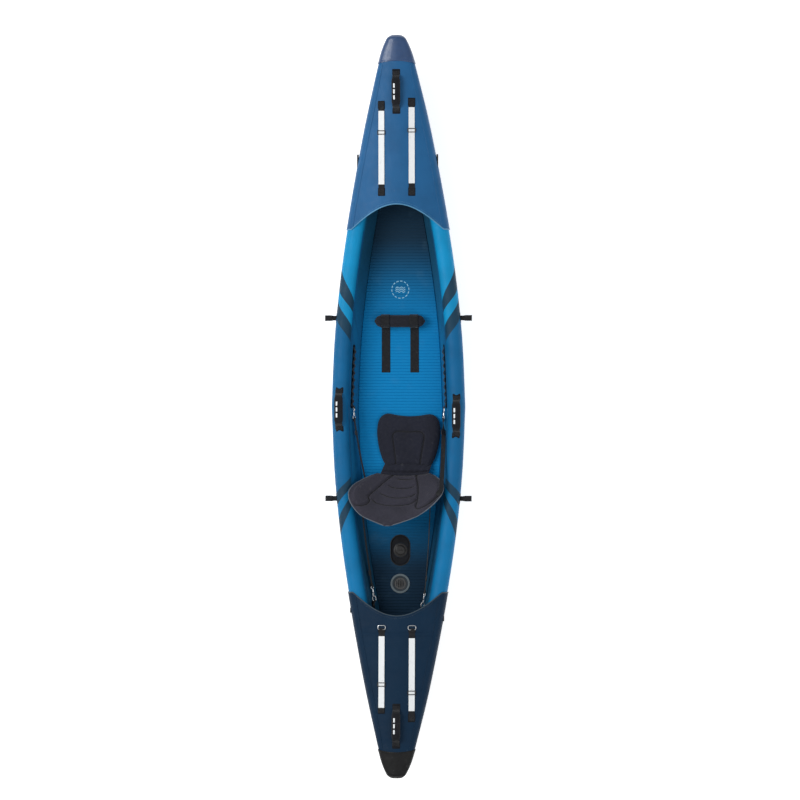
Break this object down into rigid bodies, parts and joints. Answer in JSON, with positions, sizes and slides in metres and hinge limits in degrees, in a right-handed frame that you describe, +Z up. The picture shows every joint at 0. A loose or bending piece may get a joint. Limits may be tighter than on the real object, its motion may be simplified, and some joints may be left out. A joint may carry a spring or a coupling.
{
  "type": "inflatable kayak",
  "caption": "Long inflatable kayak with flared side chambers, flat inflated floor, decked ends with moulded caps, fold-down seat, footrest, carry handles and cargo straps.",
  "frame": {"origin": "centre of the kayak's bounding box in plan, at the height of the flat bottom", "axes": "+Y towards the bow, +X to starboard, +Z up"},
  "size_m": [0.8586, 4.3, 0.4564],
  "materials": {
    "side_fabric": "coated PVC fabric, satin, in two blues with slanted dark bands",
    "floor_fabric": "coated PVC fabric, satin",
    "pad_foam": "matte EVA foam with narrow cross grooves",
    "bow_deck_fabric": "coated PVC fabric, semi-gloss steel blue",
    "stern_deck_fabric": "coated PVC fabric, semi-gloss dark navy",
    "arch_rod": "extruded fibreglass rod, satin",
    "tip_cap": "moulded, semi-gloss",
    "handle_sleeve": "matte neoprene",
    "black_webbing": "woven polyester, matte",
    "reflective_webbing": "woven reflective tape, satin",
    "footrest_cover": "laminated polyester over foam, matte",
    "seat_fabric": "laminated polyester over moulded foam, matte",
    "backrest_fabric": "laminated polyester over moulded foam, matte",
    "plated_steel": "polished nickel plate",
    "valve_plastic": "moulded, fine grain",
    "drain_plastic": "moulded, satin",
    "black_rubber": "matte",
    "black_plastic": "moulded, satin"
  },
  "bodies": {
    "hull": {"port_side_chamber": "side_fabric", "starboard_side_chamber": "side_fabric", "floor_chamber": "floor_fabric", "floor_pad": "pad_foam", "bow_deck": "bow_deck_fabric", "bow_arch_rod": "arch_rod", "bow_cap": "tip_cap", "stern_deck": "stern_deck_fabric", "stern_arch_rod": "arch_rod", "stern_cap": "tip_cap", "bow_handle_webbing": "black_webbing", "stern_handle_webbing": "black_webbing", "port_handle_webbing": "black_webbing", "starboard_handle_webbing": "black_webbing", "bow_port_cargo_strap": "reflective_webbing", "bow_starboard_cargo_strap": "reflective_webbing", "stern_port_cargo_strap": "reflective_webbing", "stern_starboard_cargo_strap": "reflective_webbing", "port_footrest_strap": "black_webbing", "starboard_footrest_strap": "black_webbing", "seat_base": "seat_fabric", "port_front_hook": "plated_steel", "port_front_stay": "black_webbing", "port_rear_hook": "plated_steel", "port_rear_d_ring": "plated_steel", "port_rear_stay": "black_webbing", "starboard_front_hook": "plated_steel", "starboard_front_stay": "black_webbing", "starboard_rear_hook": "plated_steel", "starboard_rear_d_ring": "plated_steel", "starboard_rear_stay": "black_webbing", "port_side_rail": "black_webbing", "starboard_side_rail": "black_webbing", "floor_valve_body": "valve_plastic", "port_valve_body": "valve_plastic", "starboard_valve_body": "valve_plastic", "drain_flange": "drain_plastic", "drain_strainer": "valve_plastic", "fin_box": "black_plastic"},
    "backrest": {"seat_backrest": "backrest_fabric"},
    "footrest": {"footrest_roll": "footrest_cover"},
    "bow_handle": {"bow_handle_grip": "handle_sleeve"},
    "stern_handle": {"stern_handle_grip": "handle_sleeve"},
    "port_handle": {"port_handle_grip": "handle_sleeve"},
    "starboard_handle": {"starboard_handle_grip": "handle_sleeve"},
    "port_front_loop": {"port_front_paddle_loop": "black_webbing"},
    "port_rear_loop": {"port_rear_paddle_loop": "black_webbing"},
    "starboard_front_loop": {"starboard_front_paddle_loop": "black_webbing"},
    "starboard_rear_loop": {"starboard_rear_paddle_loop": "black_webbing"},
    "port_front_gate": {"port_front_hook_gate": "plated_steel"},
    "port_rear_gate": {"port_rear_hook_gate": "plated_steel"},
    "starboard_front_gate": {"starboard_front_hook_gate": "plated_steel"},
    "starboard_rear_gate": {"starboard_rear_hook_gate": "plated_steel"},
    "floor_valve_lid": {"floor_valve_cap": "valve_plastic"},
    "floor_valve_poppet": {"floor_valve_pin": "valve_plastic"},
    "port_valve_lid": {"port_valve_cap": "valve_plastic"},
    "port_valve_poppet": {"port_valve_pin": "valve_plastic"},
    "starboard_valve_lid": {"starboard_valve_cap": "valve_plastic"},
    "starboard_valve_poppet": {"starboard_valve_pin": "valve_plastic"},
    "drain_stopper": {"drain_plug": "black_rubber"}
  },
  "joints": [
    {"name": "backrest_recline", "type": "hinge", "parent": "hull", "child": "backrest", "pos_m": [0.029, -0.386, 0.138], "axis": [-1, 0, 0], "range_deg": [0, 40], "deforming": ["port_front_stay", "port_rear_stay", "starboard_front_stay", "starboard_rear_stay"]},
    {"name": "footrest_slide", "type": "slide", "parent": "hull", "child": "footrest", "axis": [0, 1, 0], "range_m": [-0.2, 0]},
    {"name": "bow_handle_lift", "type": "slide", "parent": "hull", "child": "bow_handle", "axis": [0, -0.0705, 0.9975], "range_m": [0, 0.014], "deforming": ["bow_handle_webbing"]},
    {"name": "stern_handle_lift", "type": "slide", "parent": "hull", "child": "stern_handle", "axis": [0, 0.0848, 0.9964], "range_m": [0, 0.014], "deforming": ["stern_handle_webbing"]},
    {"name": "port_handle_lift", "type": "slide", "parent": "hull", "child": "port_handle", "axis": [0, 0.0005, 1], "range_m": [0, 0.014], "deforming": ["port_handle_webbing"]},
    {"name": "starboard_handle_lift", "type": "slide", "parent": "hull", "child": "starboard_handle", "axis": [0, 0.0017, 1], "range_m": [0, 0.014], "deforming": ["starboard_handle_webbing"]},
    {"name": "port_front_loop_droop", "type": "hinge", "parent": "hull", "child": "port_front_loop", "pos_m": [-0.36729, 0.515, 0.2556], "axis": [0, -1, 0], "range_deg": [-60, 80], "stiffness_Nm_per_rad": 0.02},
    {"name": "port_rear_loop_droop", "type": "hinge", "parent": "hull", "child": "port_rear_loop", "pos_m": [-0.36539, -0.535, 0.25609], "axis": [0, -1, 0], "range_deg": [-60, 80], "stiffness_Nm_per_rad": 0.02},
    {"name": "starboard_front_loop_droop", "type": "hinge", "parent": "hull", "child": "starboard_front_loop", "pos_m": [0.36729, 0.515, 0.2556], "axis": [0, 1, 0], "range_deg": [-60, 80], "stiffness_Nm_per_rad": 0.02},
    {"name": "starboard_rear_loop_droop", "type": "hinge", "parent": "hull", "child": "starboard_rear_loop", "pos_m": [0.36539, -0.535, 0.25609], "axis": [0, 1, 0], "range_deg": [-60, 80], "stiffness_Nm_per_rad": 0.02},
    {"name": "port_front_gate_swing", "type": "hinge", "parent": "hull", "child": "port_front_gate", "pos_m": [-0.26482, -0.03259, 0.22348], "axis": [-0.9653, -0.0346, -0.2587], "range_deg": [0, 18], "stiffness_Nm_per_rad": 0.05, "springref_deg": -11.46},
    {"name": "port_rear_gate_swing", "type": "hinge", "parent": "hull", "child": "port_rear_gate", "pos_m": [-0.1487, -1.08571, 0.20096], "axis": [-0.9515, -0.1723, -0.2549], "range_deg": [0, 18], "stiffness_Nm_per_rad": 0.05, "springref_deg": -11.46},
    {"name": "starboard_front_gate_swing", "type": "hinge", "parent": "hull", "child": "starboard_front_gate", "pos_m": [0.26068, -0.03244, 0.20802], "axis": [0.9653, -0.0346, -0.2587], "range_deg": [0, 18], "stiffness_Nm_per_rad": 0.05, "springref_deg": -11.46},
    {"name": "starboard_rear_gate_swing", "type": "hinge", "parent": "hull", "child": "starboard_rear_gate", "pos_m": [0.14567, -1.12438, 0.21643], "axis": [0.9509, -0.1755, -0.2548], "range_deg": [0, 18], "stiffness_Nm_per_rad": 0.05, "springref_deg": -11.46},
    {"name": "floor_valve_cap_flip", "type": "hinge", "parent": "hull", "child": "floor_valve_lid", "pos_m": [0.034, -0.84091, 0.107], "axis": [0, 0.9998, -0.0183], "range_deg": [0, 110]},
    {"name": "floor_valve_pin_press", "type": "slide", "parent": "hull", "child": "floor_valve_poppet", "axis": [0, -0.0183, -0.9998], "range_m": [0, 0.006], "stiffness_N_per_m": 200, "springref_m": -0.002},
    {"name": "port_valve_cap_flip", "type": "hinge", "parent": "hull", "child": "port_valve_lid", "pos_m": [-0.11414, -1.29572, 0.18531], "axis": [-0.2487, -0.0511, 0.9672], "range_deg": [0, 110]},
    {"name": "port_valve_pin_press", "type": "slide", "parent": "hull", "child": "port_valve_poppet", "axis": [-0.9474, -0.1948, -0.2539], "range_m": [0, 0.006], "stiffness_N_per_m": 200, "springref_m": -0.002},
    {"name": "starboard_valve_cap_flip", "type": "hinge", "parent": "hull", "child": "starboard_valve_lid", "pos_m": [0.11414, -1.29572, 0.18531], "axis": [-0.2487, 0.0511, -0.9672], "range_deg": [0, 110]},
    {"name": "starboard_valve_pin_press", "type": "slide", "parent": "hull", "child": "starboard_valve_poppet", "axis": [0.9474, -0.1948, -0.2539], "range_m": [0, 0.006], "stiffness_N_per_m": 200, "springref_m": -0.002},
    {"name": "drain_plug_pull", "type": "slide", "parent": "hull", "child": "drain_stopper", "axis": [0, -0.0372, -0.9993], "range_m": [0, 0.06]}
  ]
}
